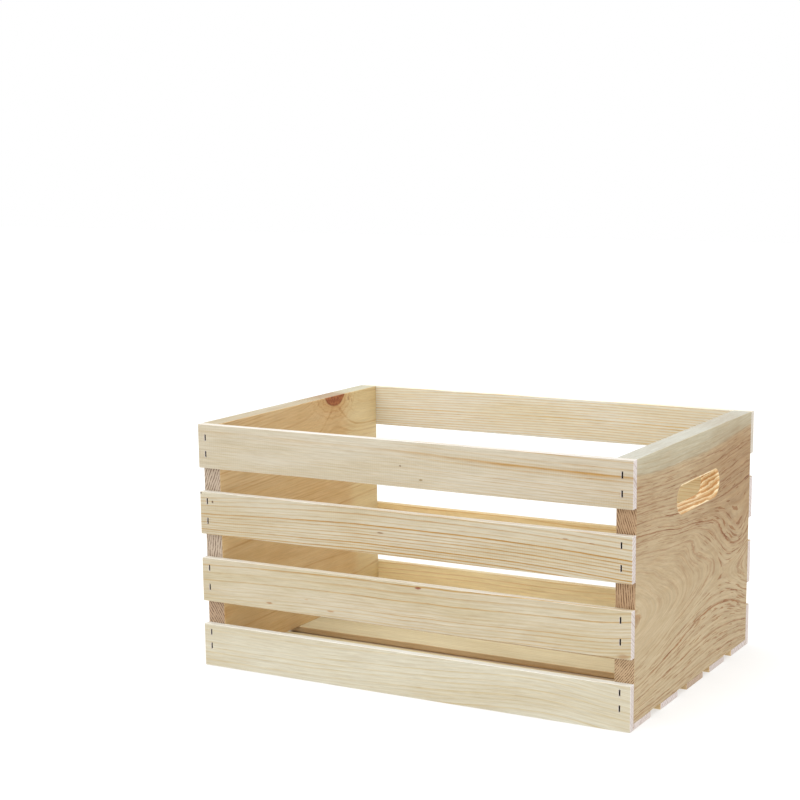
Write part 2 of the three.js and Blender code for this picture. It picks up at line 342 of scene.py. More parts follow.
def wood(name, rings, span, early, late, tint=None, seed=0, line_amp=(1.0, 0.35), fade=0.5,
         heart=None, heart_colours=None, dash=0.35, knots=(), specks=(), end_tint=(0.97, 0.955, 0.965),
         end_contrast=1.5, rough=0.62, chatter=0.0, mottle=0.5, line_gain=1.0, smudge=0.0,
         gain=(1, 1, 1), top_tint=(1.16, 1.18, 1.24), dash_colour=(0.62, 0.43, 0.28), fibre=1.0, dash_cover=(0.62, 0.72),
         tone_colour=(0.74, 0.62, 0.51), end_base=None, end_line=(0.52, 0.40, 0.30), bore=None, side_tint=None,
         edge_tint=(1.16, 1.16, 1.16), edge_gain=0.6, streaks=0.0, dash_length=13.0, rim=None, end_period=None,
         end_lean=(0.0, 0.0, 0.0), end_low=None, outer=None):
    # The gain scales this board's colours against the light the board gets. This is painted light and shade: boards
    # that face the lamps are dimmed, and boards in the shade inside the crate are brightened.
    def scaled(c):
        return tuple(v * k for v, k in zip(c, gain)) if c is not None else None
    early, late, tint = scaled(early), scaled(late), scaled(tint)
    if heart_colours:
        heart_colours = [scaled(c) for c in heart_colours]
    g = Graph(name)
    w = g.attribute("wood").outputs["Vector"]
    ring0 = g.attribute("ring").outputs["Fac"]
    edge = g.attribute("edge").outputs["Fac"]
    power = g.attribute("power").outputs["Fac"]
    tone = g.attribute("tone").outputs["Fac"]
    zone = g.attribute("dashes").outputs["Fac"]
    sepw = g.node("ShaderNodeSeparateXYZ")
    g.put(sepw.inputs[0], w)
    flow = g.node("ShaderNodeCombineXYZ")      # along the board, across the rings, into the board
    g.put(flow.inputs[0], sepw.outputs[0])
    g.put(flow.inputs[1], sepw.outputs[1] if name == "panel_left" else ring0)
    g.put(flow.inputs[2], sepw.outputs[2])
    flow = flow.outputs[0]
    rnd = np.random.RandomState(1000 + seed)
    o1, o2, o3, o4, o5, o6 = [tuple(rnd.uniform(5, 90, 3)) for _ in range(6)]

    # growth rings: given sequence, waved at three scales
    n1 = g.noise(w, (1 / 95.0, 1 / 15.0, 1 / 15.0), 2.0, 0.5, o1)
    n2 = g.noise(w, (1 / 20.0, 1 / 2.4, 1 / 2.4), 3.0, 0.6, o2)
    r = g.math("ADD", ring0, g.math("MULTIPLY", g.math("SUBTRACT", n1, 0.5), 2.0 * line_amp[0]))
    r = g.math("ADD", r, g.math("MULTIPLY", g.math("SUBTRACT", n2, 0.5), 2.0 * line_amp[1]))
    line = ring_curve(g, r, rings, span[0], span[1])

    # how strong a line is changes along the board
    n3 = g.noise(w, (1 / 70.0, 1 / 9.0, 1 / 9.0), 2.0, 0.55, o3)
    keep = g.step(n3, 0.32, 0.66, 1.0 - fade, 1.0 + fade * 0.5, "LINEAR")
    line = g.math("MULTIPLY", g.math("MULTIPLY", g.math("MULTIPLY", line, keep), power), line_gain, clamp=True)

    # fibres
    f1 = g.noise(flow, (1 / 26.0, 1 / 0.9, 1 / 0.9), 4.0, 0.62, o4)
    f2 = g.noise(flow, (1 / 7.0, 1 / 0.3, 1 / 0.3), 3.0, 0.6, o5)
    broad = g.noise(w, (1 / 150.0, 1 / 26.0, 1 / 26.0), 2.0, 0.5, o6)
    cloud = g.noise(w, (1 / 34.0, 1 / 7.0, 1 / 7.0), 3.0, 0.6, o1)

    # end grain where the face looks along the grain
    nrm = g.node("ShaderNodeTexCoord").outputs["Normal"]
    axis = (1, 0, 0) if name.split("_")[0] != "panel" else (0, 1, 0)
    along = g.math("ABSOLUTE", g.vmath("DOT_PRODUCT", nrm, axis))
    end = g.step(along, 0.45, 0.85)
    # This is the mask of faces that look up. It carries the painted light on the top faces and fades knots there.
    up = g.step(g.vmath("DOT_PRODUCT", nrm, (0, 0, 1)), 0.55, 0.9)
    if rim is not None:
        up = g.math("MULTIPLY", up, g.step(sepw.outputs[1], rim - 2.0, rim))

    early_c, late_c = early, late
    if heart is not None:
        mask = g.step(g.math("ADD", r, g.math("MULTIPLY", g.math("SUBTRACT", n2, 0.5), 1.6)), heart[0], heart[1])   # 1 in the sapwood
        early_c = g.mix(mask, heart_colours[0], early)
        late_c = g.mix(mask, heart_colours[1], late)
    base = early_c
    if tint is not None:
        base = g.mix(g.step(broad, 0.35, 0.68), early_c, tint)
    col = g.mix(line, base, late_c)
    # soft cloudiness and fibre streaks
    col = g.mix(g.step(cloud, 0.35, 0.75, 0.0, mottle), col, g.mix(1.0, col, (0.93, 0.905, 0.86), "MULTIPLY"))
    streak = g.step(f1, 0.3, 0.7, 1 - 0.075 * fibre, 1 + 0.06 * fibre, "LINEAR")
    sv = g.node("ShaderNodeCombineXYZ")
    for i in range(3):
        g.put(sv.inputs[i], streak)
    col = g.mix(1.0, col, sv.outputs[0], "MULTIPLY")
    fine = g.step(f2, 0.28, 0.72, 1 - 0.06 * fibre, 1 + 0.05 * fibre, "LINEAR")
    sv2 = g.node("ShaderNodeCombineXYZ")
    for i in range(3):
        g.put(sv2.inputs[i], fine)
    col = g.mix(1.0, col, sv2.outputs[0], "MULTIPLY")
    if streaks:
        # crisp fibre streaks, the dark ones warmer
        f3 = g.noise(flow, (1 / 30.0, 1 / 0.95, 1 / 0.95), 2.0, 0.55, o6)
        crisp = g.mix(g.step(f3, 0.40, 0.60), (1 - streaks, 1 - 1.35 * streaks, 1 - 1.8 * streaks), (1 + 0.7 * streaks, 1 + 0.8 * streaks, 1 + 0.9 * streaks))
        col = g.mix(1.0, col, crisp, "MULTIPLY")
    # slow changes of tone over the board; on the right end board they are partly painted light along its bottom edge
    drift = g.math("ADD", tone, g.math("MULTIPLY", g.math("SUBTRACT", cloud, 0.5), g.math("MULTIPLY", tone, 0.9)), clamp=True)
    col = g.mix(drift, col, g.mix(1.0, col, tone_colour, "MULTIPLY"))
    # resin canals: short thin dashes along the grain, mostly in the late wood
    d1 = g.noise(flow, (1 / dash_length, 1 / 0.9, 1 / 0.9), 1.0, 0.4, o2)
    dashes = g.math("MULTIPLY", g.step(d1, dash_cover[0], dash_cover[1]), g.math("ADD", zone, line), clamp=True)
    dashes = g.math("MULTIPLY", dashes, g.math("SUBTRACT", 1.0, end))
    col = g.mix(g.math("MULTIPLY", dashes, dash), col, g.mix(1.0, col, dash_colour, "MULTIPLY"))
    if smudge:
        sm = g.noise(w, (1 / 55.0, 1 / 10.0, 1 / 10.0), 3.0, 0.65, o5)
        col = g.mix(g.step(sm, 0.56, 0.8, 0.0, smudge), col, lin(196, 158, 112))

    # knots and specks: (s, a, half length, half height, strength, colour)
    sep = g.node("ShaderNodeSeparateXYZ")
    g.put(sep.inputs[0], w)
    ws, wa = sep.outputs[0], sep.outputs[1]
    knot_bump = None
    for (ks, ka, rs, ra, power, colour) in list(knots) + list(specks):
        big = ra > 4
        ds = g.math("DIVIDE", g.math("SUBTRACT", ws, ks), rs)
        da = g.math("DIVIDE", g.math("SUBTRACT", wa, ka), ra)
        rho = g.math("SQRT", g.math("ADD", g.math("MULTIPLY", ds, ds), g.math("MULTIPLY", da, da)))
        ragged = g.noise(w, (1 / (0.5 * rs), 1 / (0.5 * ra), 1 / 6.0), 3.0, 0.6, o3)
        rho = g.math("ADD", rho, g.math("MULTIPLY", g.math("SUBTRACT", ragged, 0.5), 0.22 if big else 0.9))
        m = g.step(rho, 1.04, 0.9) if big else g.step(rho, 1.15, 0.45)
        m = g.math("MULTIPLY", m, g.math("SUBTRACT", 1.0, end))
        if big:
            inner = g.math("SINE", g.math("ADD", g.math("MULTIPLY", rho, 17.0), g.math("MULTIPLY", ragged, 6.0)))
            kc = g.mix(g.step(inner, -0.4, 1.0, 0.0, 0.5), colour, tuple(c * k for c, k in zip(colour, (0.70, 0.55, 0.48))))
            ang = g.math("ARCTAN2", da, ds)
            rays = g.math("SINE", g.math("ADD", g.math("MULTIPLY", ang, 9.0), g.math("MULTIPLY", ragged, 8.0)))
            kc = g.mix(g.math("MULTIPLY", g.step(rays, 0.72, 0.98), g.step(rho, 1.0, 0.25, 0.0, 0.8)), kc, tuple(c * k for c, k in zip(colour, (0.42, 0.30, 0.25))))
            rim = g.math("MULTIPLY", g.step(rho, 0.78, 0.97), m)
            kc = g.mix(g.math("MULTIPLY", rim, 0.75), kc, tuple(c * k for c, k in zip(colour, (0.50, 0.34, 0.26))))
            m = g.math("MULTIPLY", m, g.math("SUBTRACT", 1.0, g.math("MULTIPLY", up, 0.72)))
            patch = g.noise(w, (1 / 6.0, 1 / 4.0, 1 / 4.0), 2.0, 0.6, o4)
            kc = g.mix(g.step(patch, 0.46, 0.62, 0.0, 0.75), kc, tuple(c * k for c, k in zip(colour, (1.15, 1.25, 1.05))))
            kc = g.mix(g.step(patch, 0.46, 0.34, 0.0, 0.6), kc, tuple(c * k for c, k in zip(colour, (0.62, 0.45, 0.42))))
            halo = g.step(rho, 2.2, 0.95, 0.0, 0.6)
            col = g.mix(halo, col, g.mix(1.0, col, (0.90, 0.80, 0.70), "MULTIPLY"))
            fan = g.math("SINE", g.math("ADD", g.math("MULTIPLY", rho, 15.0), g.math("ADD", g.math("MULTIPLY", ang, 3.0), g.math("MULTIPLY", ragged, 9.0))))
            fan = g.math("MULTIPLY", g.step(fan, 0.35, 0.95), g.math("MULTIPLY", g.step(rho, 2.9, 1.2), g.step(rho, 0.98, 1.12)))
            col = g.mix(g.math("MULTIPLY", fan, 0.5), col, g.mix(1.0, col, (0.78, 0.58, 0.44), "MULTIPLY"))
            col = g.mix(m, col, kc)
        else:
            col = g.mix(g.math("MULTIPLY", m, power), col, colour)

    # end faces: greyer, rings darker, saw marks, open-pored speckle
    speck = g.noise(w, (1 / 3.0, 1 / 0.45, 1 / 0.45), 3.0, 0.7, o4)
    saw = g.noise(w, (1 / 0.8, 1 / 40.0, 1 / 0.8), 2.0, 0.5, o6)
    if end_base is None:
        end_base = tuple(e * k for e, k in zip(early, end_tint))
    eline = line
    if end_period:
        # straight rings at a lean of their own in each gap between the front slats
        wz = sepw.outputs[1]
        lean = g.math("ADD", g.step(wz, 84.0, 92.0, end_lean[2], end_lean[1]), g.step(wz, 151.0, 159.0, 0.0, end_lean[0] - end_lean[1]))
        ph = g.math("SUBTRACT", sepw.outputs[2], g.math("MULTIPLY", wz, lean))
        warp = g.noise(w, (1 / 30.0, 1 / 14.0, 1 / 9.0), 2.0, 0.5, o5)
        ph = g.math("ADD", g.math("MULTIPLY", ph, 2 * math.pi / end_period), g.math("MULTIPLY", warp, 9.0))
        eline = g.math("MULTIPLY", g.step(g.math("SINE", ph), 0.0, 0.95), g.step(g.noise(w, (1 / 6.0, 1 / 5.0, 1 / 2.2), 2.0, 0.6, o3), 0.34, 0.60, 0.20, 1.0))
    ecol = g.mix(g.math("MULTIPLY", eline, end_contrast, clamp=True), end_base, tuple(e * k for e, k in zip(end_base, end_line)))
    if end_low is not None:
        ecol = g.mix(g.step(sepw.outputs[1], 92.0, 84.0), ecol, g.mix(1.0, ecol, end_low, "MULTIPLY"))
    pore = g.noise(w, (1 / 1.2, 1 / 0.8, 1 / 0.8), 2.0, 0.5, o2)
    ecol = g.mix(g.step(pore, 0.60, 0.70, 0.0, 0.55), ecol, tuple(e * 0.5 for e in end_base))
    ev = g.node("ShaderNodeCombineXYZ")
    amount = g.math("MULTIPLY", g.step(speck, 0.3, 0.7, 0.80, 1.12, "LINEAR"), g.step(saw, 0.3, 0.7, 0.95, 1.04, "LINEAR"))
    for i in range(3):
        g.put(ev.inputs[i], amount)
    ecol = g.mix(1.0, ecol, ev.outputs[0], "MULTIPLY")
    col = g.mix(end, col, ecol)
    # Top faces are tinted by how light falls on them. This is painted light and shade: lighter and bluer on the front
    # slats' tops, darker on the back slats' tops.
    col = g.mix(up, col, g.mix(1.0, col, top_tint, "MULTIPLY"))
    # The flanks of the floor slats are tinted warmer. This is painted light, standing for the warm light in the shaded
    # gaps between the slats.
    if side_tint is not None:
        flank = g.step(g.math("ABSOLUTE", g.vmath("DOT_PRODUCT", nrm, (0, 1, 0))), 0.45, 0.85)
        col = g.mix(flank, col, g.mix(1.0, col, side_tint, "MULTIPLY"))

    # Outward faces are tinted back down. They give up the painted light of the gain, so only the faces inside the
    # crate keep it.
    if outer is not None:
        facing = g.step(g.vmath("DOT_PRODUCT", nrm, outer[0]), 0.45, 0.85)
        col = g.mix(facing, col, g.mix(1.0, col, outer[1], "MULTIPLY"))

    # arrises lighter, broken up: painted highlight along the rounded edges, partly wear
    wear = g.math("MULTIPLY", edge, g.step(cloud, 0.35, 0.6, 0.55, 1.0))
    col = g.mix(g.math("MULTIPLY", wear, edge_gain), col, g.mix(1.0, col, edge_tint, "MULTIPLY"))
    if bore is not None:
        # freshly cut wall of the hand slot: rings show as pale and orange bands; the colours sit lighter than the
        # board as painted light against the shade inside the slot, and the cream bands are partly painted highlight
        inside = g.attribute("bore").outputs["Fac"]
        bph = g.math("ADD", g.math("MULTIPLY", r, 2 * math.pi / 4.4), g.math("MULTIPLY", g.noise(w, (1 / 16.0, 1 / 9.0, 1 / 12.0), 2.0, 0.5, o5), 6.0))
        bcol = g.mix(g.step(g.math("SINE", bph), -0.1, 0.9), bore[0], bore[1])
        bcol = g.mix(g.step(g.math("SINE", g.math("ADD", bph, 2.4)), 0.45, 0.95, 0.0, 0.9), bcol, bore[2])
        bcol = g.mix(1.0, bcol, sv.outputs[0], "MULTIPLY")
        col = g.mix(inside, col, bcol)

    # surface
    rg = g.math("ADD", g.math("MULTIPLY", f1, 0.16), rough - 0.08)
    rg = g.math("SUBTRACT", rg, g.math("MULTIPLY", line, 0.06))
    rg = g.math("ADD", rg, g.math("MULTIPLY", end, 0.12), clamp=True)
    h = g.math("ADD", g.math("MULTIPLY", line, 0.05), g.math("MULTIPLY", f2, 0.10))
    h = g.math("ADD", h, g.math("MULTIPLY", f1, 0.06))
    h = g.math("SUBTRACT", h, g.math("MULTIPLY", dashes, 0.08))
    h = g.math("ADD", h, g.math("MULTIPLY", g.math("MULTIPLY", speck, end), 0.30))
    h = g.math("ADD", h, g.math("MULTIPLY", g.math("MULTIPLY", saw, end), 0.25))
    if chatter:
        ch = g.math("SINE", g.math("ADD", g.math("MULTIPLY", ws, 2 * math.pi / 2.3), g.math("MULTIPLY", cloud, 2.0)))
        ch = g.math("MULTIPLY", ch, g.step(broad, 0.38, 0.6))
        h = g.math("ADD", h, g.math("MULTIPLY", ch, chatter))
        rib = g.step(ch, -1.0, 1.0, 1 - 0.22 * chatter, 1 + 0.22 * chatter, "LINEAR")
        rv = g.node("ShaderNodeCombineXYZ")
        for i in range(3):
            g.put(rv.inputs[i], rib)
        col = g.mix(1.0, col, rv.outputs[0], "MULTIPLY")
    bump = g.node("ShaderNodeBump")
    bump.inputs["Strength"].default_value = 0.55
    bump.inputs["Distance"].default_value = 0.001
    g.put(bump.inputs["Height"], h)

    bsdf = g.node("ShaderNodeBsdfPrincipled")
    g.put(bsdf.inputs["Base Color"], col)
    g.put(bsdf.inputs["Roughness"], rg)
    g.put(bsdf.inputs["Normal"], bump.outputs[0])
    bsdf.inputs["IOR"].default_value = 1.45
    bsdf.inputs["Specular IOR Level"].default_value = 0.28
    out = g.node("ShaderNodeOutputMaterial")
    g.put(out.inputs["Surface"], bsdf.outputs[0])
    return g.mat


def steel(name):
    g = Graph(name)
    pos = g.node("ShaderNodeTexCoord").outputs["Object"]
    n = g.noise(pos, (900, 900, 900), 3.0, 0.6)
    m = g.noise(pos, (210, 210, 210), 2.0, 0.5, (3, 7, 1))
    # Near-black steel is painted shade. It makes the sunk crowns read dark where bright galvanised wire would show
    # grey.
    col = g.mix(g.step(n, 0.35, 0.7), lin(8, 8, 7), lin(28, 26, 22))
    col = g.mix(g.step(m, 0.5, 0.7, 0.0, 0.6), col, lin(28, 24, 16))
    bump = g.node("ShaderNodeBump")
    bump.inputs["Strength"].default_value = 0.3
    bump.inputs["Distance"].default_value = 0.0002
    g.put(bump.inputs["Height"], n)
    b = g.node("ShaderNodeBsdfPrincipled")
    g.put(b.inputs["Base Color"], col)
    b.inputs["Metallic"].default_value = 1.0
    g.put(b.inputs["Roughness"], g.step(n, 0.3, 0.7, 0.28, 0.5))
    g.put(b.inputs["Normal"], bump.outputs[0])
    out = g.node("ShaderNodeOutputMaterial")
    g.put(out.inputs["Surface"], b.outputs[0])
    return g.mat


# ---------------------------------------------------------- growth patterns
def filler_rings(seed, lo, hi, gap, strength, width, jitter=0.35):
    """A plain run of growth rings between two ring positions."""
    rnd = np.random.RandomState(seed)
    out, p = [], lo
    while p < hi:
        out.append((p, strength * rnd.uniform(0.45, 1.25), width * rnd.uniform(0.7, 1.3)))
        p += gap * rnd.uniform(1 - jitter, 1 + jitter)
    return out


# Front slats: how the lines shift and spread along the board, and the lines themselves
# (height at mid-length, strength, width), all in millimetres.
SLAT_GRAIN = {
    "front_slat_top": dict(
        shift=[(-229, -3.2), (-175, -2.6), (-125, -1.6), (-75, -0.8), (-25, -0.2), (0, 0), (50, 1.6), (100, 2.9), (150, 4.2), (200, 5.0), (229, 5.3)],
        stretch=[(-229, 0.0), (0, 0.0), (100, 0.03), (229, 0.06)], mid=222.0,
        rings=[(248.2, .45, .9), (241.3, .32, 1.0), (237.5, .2, 1.2), (234.6, .62, 2.3), (230.2, .42, 1.2), (226.5, .22, .9), (223.6, .25, .9),
               (220.0, .38, .8), (218.3, .2, .8), (216.0, .36, .8), (213.2, .30, .8), (210.4, .28, .7), (207.6, .26, .8), (204.7, .34, .8), (202.6, .32, .8), (199.6, .3, .8)],
        strong=[(-229, .35), (-100, .4), (0, .55), (60, .9), (120, 1.15), (229, 1.35)]),
    "front_slat_upper": dict(
        shift=[(-229, 6.4), (-200, 5.4), (-175, 4.0), (-150, 2.9), (-100, 1.4), (-50, 0.1), (0, 0), (50, 0.1), (100, 0.8), (150, 2.3), (200, 4.7), (229, 6.4)],
        stretch=[(-229, 0.16), (-175, 0.08), (-100, 0.01), (0, 0), (229, 0)], mid=152.0,
        rings=[(180.5, .4, 1.1), (176.4, .4, 1.0), (171.4, .55, 1.0), (168.4, .16, .8), (165.8, .34, .9), (161.8, .9, 1.1), (158.3, .62, .9), (155.2, .42, .8),
               (152.5, .72, .85), (149.1, .6, .8), (146.5, .36, .7), (143.9, .9, .9), (141.4, .5, .75), (138.2, .85, .9), (135.6, .6, .8), (132.8, .6, .8), (130.2, .5, .8)],
        strong=[(-229, .75), (-150, .7), (-60, .95), (0, 1.0), (229, 1.05)]),
    "front_slat_lower": dict(
        shift=[(-229, 4.4), (-200, 3.6), (-175, 2.4), (-150, 1.7), (-125, 1.0), (-75, 0.1), (-50, -0.3), (0, 0), (25, -0.7), (50, -0.6), (75, -1.4), (100, -2.3),
               (125, -3.1), (150, -3.7), (175, -4.3), (200, -5.2), (215, -6.6), (229, -8.6)],
        stretch=[(-229, 0.0), (229, 0.0)], mid=88.0,
        rings=[(112.0, .3, 1.0), (108.1, .95, 1.2), (104.8, .18, 1.4), (100.6, .38, 1.6), (96.6, .16, 1.0), (92.7, .68, 1.0), (89.5, .14, 1.0), (86.4, .2, 1.2), (83.4, .3, 1.2),
               (80.0, .18, 1.2), (78.2, .52, .9), (74.4, .42, .9), (71.2, .2, 1.0), (68.4, .46, 1.0), (65.0, .4, 1.0), (61.5, .5, .9)],
        strong=[(-229, .55), (-110, .7), (-60, .95), (100, 1.0), (229, 1.15)]),
    "front_slat_bottom": dict(
        shift=[(-229, 4.2), (-200, 4.3), (-150, 4.1), (-100, 3.8), (-75, 3.0), (-50, 2.0), (-25, 1.0), (0, 0), (50, -2.6), (75, -4.6), (100, -6.6), (125, -7.8),
               (150, -7.6), (175, -5.8), (200, -2.6), (229, 0.2)],
        stretch=[(-229, 0.0), (229, 0.0)], mid=20.0,
        rings=[(44.6, .22, 1.4), (41.0, .3, 1.4), (36.8, .16, 1.2), (33.0, .2, 1.4), (29.0, .42, 1.2), (26.2, .12, 1.0), (23.0, .34, 1.4), (18.3, .38, 1.4),
               (14.4, .16, 1.3), (10.8, .38, 1.6), (6.6, .2, 1.6), (3.0, .2, 1.4), (-1.6, .44, 1.3)],
        strong=[(-229, .75), (0, .9), (229, .95)]),
    "back_slat_top": dict(
        shift=[(-229, 4.6), (-180, 3.2), (-120, 1.8), (-60, 0.6), (0, 0), (60, -0.3), (120, 0.6), (180, 1.4), (229, 2.4)],
        stretch=[(-229, 0.10), (-120, 0.03), (0, 0), (229, 0.02)], mid=222.0,
        rings=[(247.0, .5, .8), (244.2, .6, .8), (240.9, .62, .8), (238.0, .6, .8), (235.2, .66, .8), (232.3, .62, .8), (229.6, .55, .8), (226.8, .62, .8), (223.3, .92, .9), (220.1, .72, .85),
               (217.4, .66, .8), (214.6, .72, .8), (211.8, .7, .8), (208.9, .72, .8), (206.1, .7, .8), (203.4, .66, .8), (200.4, .6, .8), (197.2, .6, .8)],
        strong=[(-229, .9), (229, 1.0)]),
}


def slat_field(name, depth_gradient, seed, zc, half):
    """Ring coordinate of a side or floor slat from position along, across and into the board."""
    spec = SLAT_GRAIN.get(name)

    def field(s, a, b):
        if spec:
            return a + smooth_interp(spec["shift"], s) + smooth_interp(spec["stretch"], s) * (a - spec["mid"]) + b * depth_gradient
        return a + wobble(seed, s, 170.0) * 3.2 + wobble(seed + 5, s, 60.0) * 0.5 + s * (((seed * 37) % 11) - 5) * 0.0022 + b * depth_gradient
    return field


SLAT_TONE = {
    "floor_slat_middle": lambda s, a: smooth_interp([(-229, 0.0), (-100, 0.3), (0, 0.7), (120, 1.0), (229, 1.1)], s),
    "back_slat_bottom": lambda s, a: smooth_interp([(-229, 0.0), (-130, 0.15), (0, 0.7), (120, 1.0), (229, 1.0)], s),
    "back_slat_lower": lambda s, a: smooth_interp([(-229, 0.0), (-130, 0.15), (0, 0.6), (120, 0.9), (229, 1.0)], s),
    "back_slat_upper": lambda s, a: smooth_interp([(-229, 0.2), (0, 0.5), (120, 1.0), (229, 1.0)], s),
    "front_slat_top": lambda s, a: smooth_interp([(-229, 0.0), (40, 0.02), (120, 0.08), (180, 0.17), (229, 0.22)], s),
    "front_slat_upper": lambda s, a: 0.05 + 0.0 * s,
    "front_slat_lower": lambda s, a: 0.04 * np.exp(-((s - 10) / 60.0) ** 2) + 0.25 * np.exp(-((s - 222) / 10.0) ** 2 - ((a - 68) / 4.0) ** 2),
}

# Outer face of the right end board: lines read as (across the board, height) with one ring
# value each; a thin-plate surface through them gives the ring value anywhere.
PANEL_LINES = [
    (122, [(-149, 229), (-99, 225), (-39, 224), (21, 223.4), (61, 224.4), (101, 227.6), (151, 231)]),
    (80, [(-149, 186), (-109, 184), (-69, 179), (-39, 177), (-9, 175), (21, 173.6), (41, 172.4), (61, 172), (91, 174), (121, 177), (149, 181)]),
    (66, [(-149, 175), (-109, 171.6), (-79, 168.4), (-59, 164.4), (-47, 162.4), (-23, 161), (1, 159), (21, 156), (41, 154), (53, 150), (61, 146),
          (69, 137), (77, 131), (89, 126), (95, 121), (111, 117.6), (129, 117.6), (145, 124)]),
    (48, [(-149, 158), (-119, 155), (-89, 152), (-59, 149), (-39, 147), (-19, 145.6), (-11, 144), (-7, 140), (-11, 136), (-5, 131), (7, 126), (21, 121.6),
          (33, 117), (42, 111), (41, 104), (31, 97), (11, 89), (-19, 82), (-59, 74), (-99, 64), (-139, 56)]),
    (30, [(-147, 145), (-129, 139), (-109, 135), (-101, 130), (-93, 126), (-73, 120), (-59, 114), (-49, 106), (-45, 101), (-51, 95), (-69, 88), (-89, 83),
          (-119, 78), (-141, 74)]),
    (13, [(-141, 96), (-150, 101), (-150, 92)]),
    (48, [(147, 104), (130, 97), (115, 90), (133, 80), (147, 74)]),
    (60, [(-139, 44), (-89, 52), (-59, 58), (-19, 66), (11, 72), (41, 75), (81, 74), (111, 68), (131, 60), (147, 54)]),
    (88, [(-150, 19), (-90, 21), (-40, 24), (20, 27), (80, 27), (120, 24), (150, 20)]),
    (104, [(-150, 3), (-50, 5), (20, 7), (80, 7), (150, 3)]),
    (142, [(-150, 249), (-50, 245), (20, 244), (80, 245), (150, 251)]),
]


def thin_plate(lines, squeeze, smooth):
    pts = np.array([(p[0] / squeeze, p[1]) for v, ps in lines for p in ps], float)
    val = np.array([v for v, ps in lines for p in ps], float)

    def kernel(a, b):
        d2 = ((a[:, None, :] - b[None, :, :]) ** 2).sum(-1) / 1e4
        return 0.5 * d2 * np.log(np.maximum(d2, 1e-12))
    n = len(pts)
    k = kernel(pts, pts) + np.eye(n) * smooth
    p = np.hstack([np.ones((n, 1)), pts / 100.0])
    m = np.zeros((n + 3, n + 3))
    m[:n, :n], m[:n, n:], m[n:, :n] = k, p, p.T
    w = np.linalg.solve(m, np.concatenate([val, np.zeros(3)]))

    def evaluate(y, z):
        q = np.stack([np.asarray(y) / squeeze, np.asarray(z)], -1)
        out = np.empty(len(q))
        for i in range(0, len(q), 4000):
            c = q[i:i + 4000]
            out[i:i + 4000] = kernel(c, pts) @ w[:n] + np.hstack([np.ones((len(c), 1)), c / 100.0]) @ w[n:]
        return out
    return evaluate


right_face = thin_plate(PANEL_LINES, 1.8, 0.002)
# Darkening over the right end board's outer face. It is partly the board's own tone and partly painted light: it is
# left lowest along the bottom edge to cancel the shade near the floor.
right_tone = thin_plate([(.57, [(-145, 215), (-105, 207), (-70, 205)]), (.70, [(0, 210), (-20, 195)]), (1.0, [(60, 205), (70, 215)]), (1.25, [(110, 208), (140, 212), (120, 190)]),
                         (.50, [(-145, 165), (-90, 162), (-30, 155)]), (.50, [(-20, 125), (20, 140)]), (1.02, [(100, 168), (140, 165)]), (.72, [(95, 145), (135, 140)]),
                         (.2, [(-140, 125), (-100, 105), (-140, 80), (-60, 90)]), (.28, [(10, 95), (50, 90)]), (.42, [(85, 105), (140, 100)]),
                         (0.0, [(-140, 40), (-100, 20), (-60, 35)]), (.08, [(0, 50), (0, 20), (50, 35)]), (.22, [(100, 40), (140, 25), (140, 50)]), (.38, [(-100, 185), (-60, 182)]),
                         (.0, [(-145, 240), (0, 240), (145, 243)])], 1.2, 0.02)


def panel_right_field(y, z, b):
    return right_face(y, z) - b * smooth_interp([(0, 1.3), (50, 1.7), (95, 2.0), (125, 1.9), (150, 0.7), (172, -0.45), (190, -0.6), (244, -0.5)], z)


def panel_right_dashes(y, z, b):
    zone = smooth_interp([(-60, .35), (20, .22), (34, .3), (46, .5), (58, .95), (84, 1.0), (92, .7), (118, .7), (124, .2), (150, .2)], right_face(y, z))
    return zone * smooth_interp([(-151, .75), (-60, .7), (20, .95), (151, 1.15)], y)


def panel_left_field(y, z, b):
    """Plain lines rising to the right, swept up into a knot at the top edge."""
    base = z - 0.05 * (y + 30) + 1.6 * np.sin(y / 70.0) - b * smooth_interp([(0, -1.2), (55, -1.0), (90, 2.2), (125, 3.0), (150, 2.4), (190, 1.9), (244, 1.2)], z)
    dy, dz = (y - 64.0) / 34.0, (z - 254.0) / 44.0
    near = np.exp(-(dy * dy + dz * dz))
    wide = np.exp(-((y - 64.0) / 110.0) ** 2 - ((z - 252.0) / 70.0) ** 2)
    return base - near * 40.0 - wide * 10.0


def left_tone(y, z):
    """0 in the pale wood behind the knot, 1 over the rest of the board."""
    pale = 1 / (1 + np.exp(-(y - 86.0 + 0.10 * (z - 220)) / 4.0))
    return np.clip(1.0 - pale + 0.22 * np.exp(-((y - 25.0) / 30.0) ** 2 - ((z - 215) / 30.0) ** 2), 0, 1.2)


# ------------------------------------------------------------------ finishes
CREAM = lin(224, 212, 187)
TAN = lin(196, 154, 104)


def slat_finish(name, seed, early, late, tint, **kw):
    spec = SLAT_GRAIN.get(name)
    if spec:
        rings = spec["rings"]
        lo, hi = rings[0][0], rings[0][0]
        lo = min(r[0] for r in rings) - 3
        hi = max(r[0] for r in rings) + 3
    else:
        zlo, zhi, gap, power, width = kw.pop("fill")
        rings = filler_rings(seed, zlo - 12, zhi + 12, gap, power, width)
        lo, hi = zlo - 14, zhi + 14
    return wood("slat_" + name, rings, (lo, hi), early, late, tint, seed=seed, **kw)


